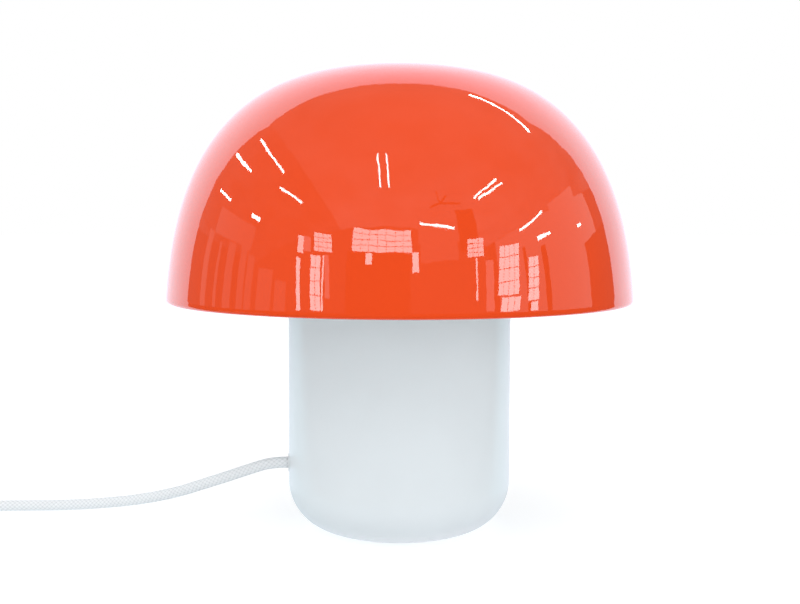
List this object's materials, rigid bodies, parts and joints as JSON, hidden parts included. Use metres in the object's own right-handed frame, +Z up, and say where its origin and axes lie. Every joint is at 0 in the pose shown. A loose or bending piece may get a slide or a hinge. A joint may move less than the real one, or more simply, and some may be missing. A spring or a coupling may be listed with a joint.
{
  "type": "mushroom table lamp",
  "caption": "Table lamp with a domed metal shade resting on a spider above a cup-shaped body, with lampholder, bulb, braided lead, inline switch and two-pin plug.",
  "frame": {"origin": "centre of the body's foot, on the table that the felt pad rests on", "axes": "+Z up along the lamp's axis, -X toward the side where the lead leaves the body"},
  "size_m": [0.5056, 0.2914, 0.25],
  "materials": {
    "orange_lacquer": "gloss",
    "white_lacquer": "gloss",
    "white_paint": "satin",
    "zinc_steel": "satin",
    "iron": "matte",
    "felt": "matte",
    "silicone": "matte",
    "holder_plastic": "satin",
    "brass": "satin",
    "brown_core": "satin",
    "blue_core": "satin",
    "opal_glass": "satin",
    "cap_metal": "satin",
    "cap_insulator": "gloss",
    "solder": "satin",
    "white_plastic": "satin",
    "rocker_plastic": "gloss",
    "braid": "matte",
    "pin_metal": "polished",
    "pin_sleeve": "satin"
  },
  "bodies": {
    "base": {"body_shell": "white_lacquer", "top_plate": "white_paint", "top_plate_screws": "zinc_steel", "ballast": "iron", "ballast_bolt": "zinc_steel", "ballast_washer": "zinc_steel", "ballast_nut": "zinc_steel", "base_pad": "felt", "nipple": "zinc_steel", "nipple_washer": "zinc_steel", "nipple_nut": "zinc_steel", "holder_cap": "holder_plastic", "holder_insert": "holder_plastic", "holder_skirt": "holder_plastic", "holder_lock_screw": "zinc_steel", "lower_ring_nut": "holder_plastic", "upper_ring_nut": "holder_plastic", "centre_contact": "brass", "side_contact": "brass", "terminal_screws": "brass", "live_wire": "brown_core", "neutral_wire": "blue_core", "cord_bush": "white_plastic", "cord_grip_base": "white_plastic", "cord_grip_bar": "white_plastic", "cord_grip_screws": "zinc_steel", "inner_flex": "braid", "lamp_flex": "braid", "switch_base": "white_plastic", "switch_cover": "white_plastic", "switch_screws": "zinc_steel", "switch_contacts": "brass", "switch_cores": "blue_core", "lead_flex": "braid", "flex_coil": "braid", "tail_flex": "braid", "plug_body": "white_plastic", "plug_pins": "pin_metal", "plug_pin_sleeves": "pin_sleeve"},
    "carrier": {"carrier_hub": "zinc_steel", "carrier_arms": "zinc_steel", "carrier_rivets": "zinc_steel", "carrier_pads": "silicone"},
    "shade": {"shade_shell": "orange_lacquer", "shade_seat_ring": "white_paint"},
    "bulb": {"bulb_globe": "opal_glass", "bulb_cap": "cap_metal", "bulb_insulator": "cap_insulator", "bulb_tip": "solder"},
    "rocker": {"switch_rocker": "rocker_plastic"}
  },
  "joints": [
    {"name": "carrier_turn", "type": "hinge", "parent": "base", "child": "carrier", "pos_m": [0, 0, 0.161], "axis": [0, 0, 1], "continuous": true},
    {"name": "shade_lift", "type": "slide", "parent": "carrier", "child": "shade", "axis": [0, 0, 1], "range_m": [0, 0.13]},
    {"name": "bulb_unscrew", "type": "slide", "parent": "base", "child": "bulb", "axis": [0, 0, 1], "range_m": [0, 0.0085]},
    {"name": "rocker_tilt", "type": "hinge", "parent": "base", "child": "rocker", "pos_m": [-0.268, -0.033, 0.0159], "axis": [1, 0, 0], "range_deg": [0, 18]}
  ]
}
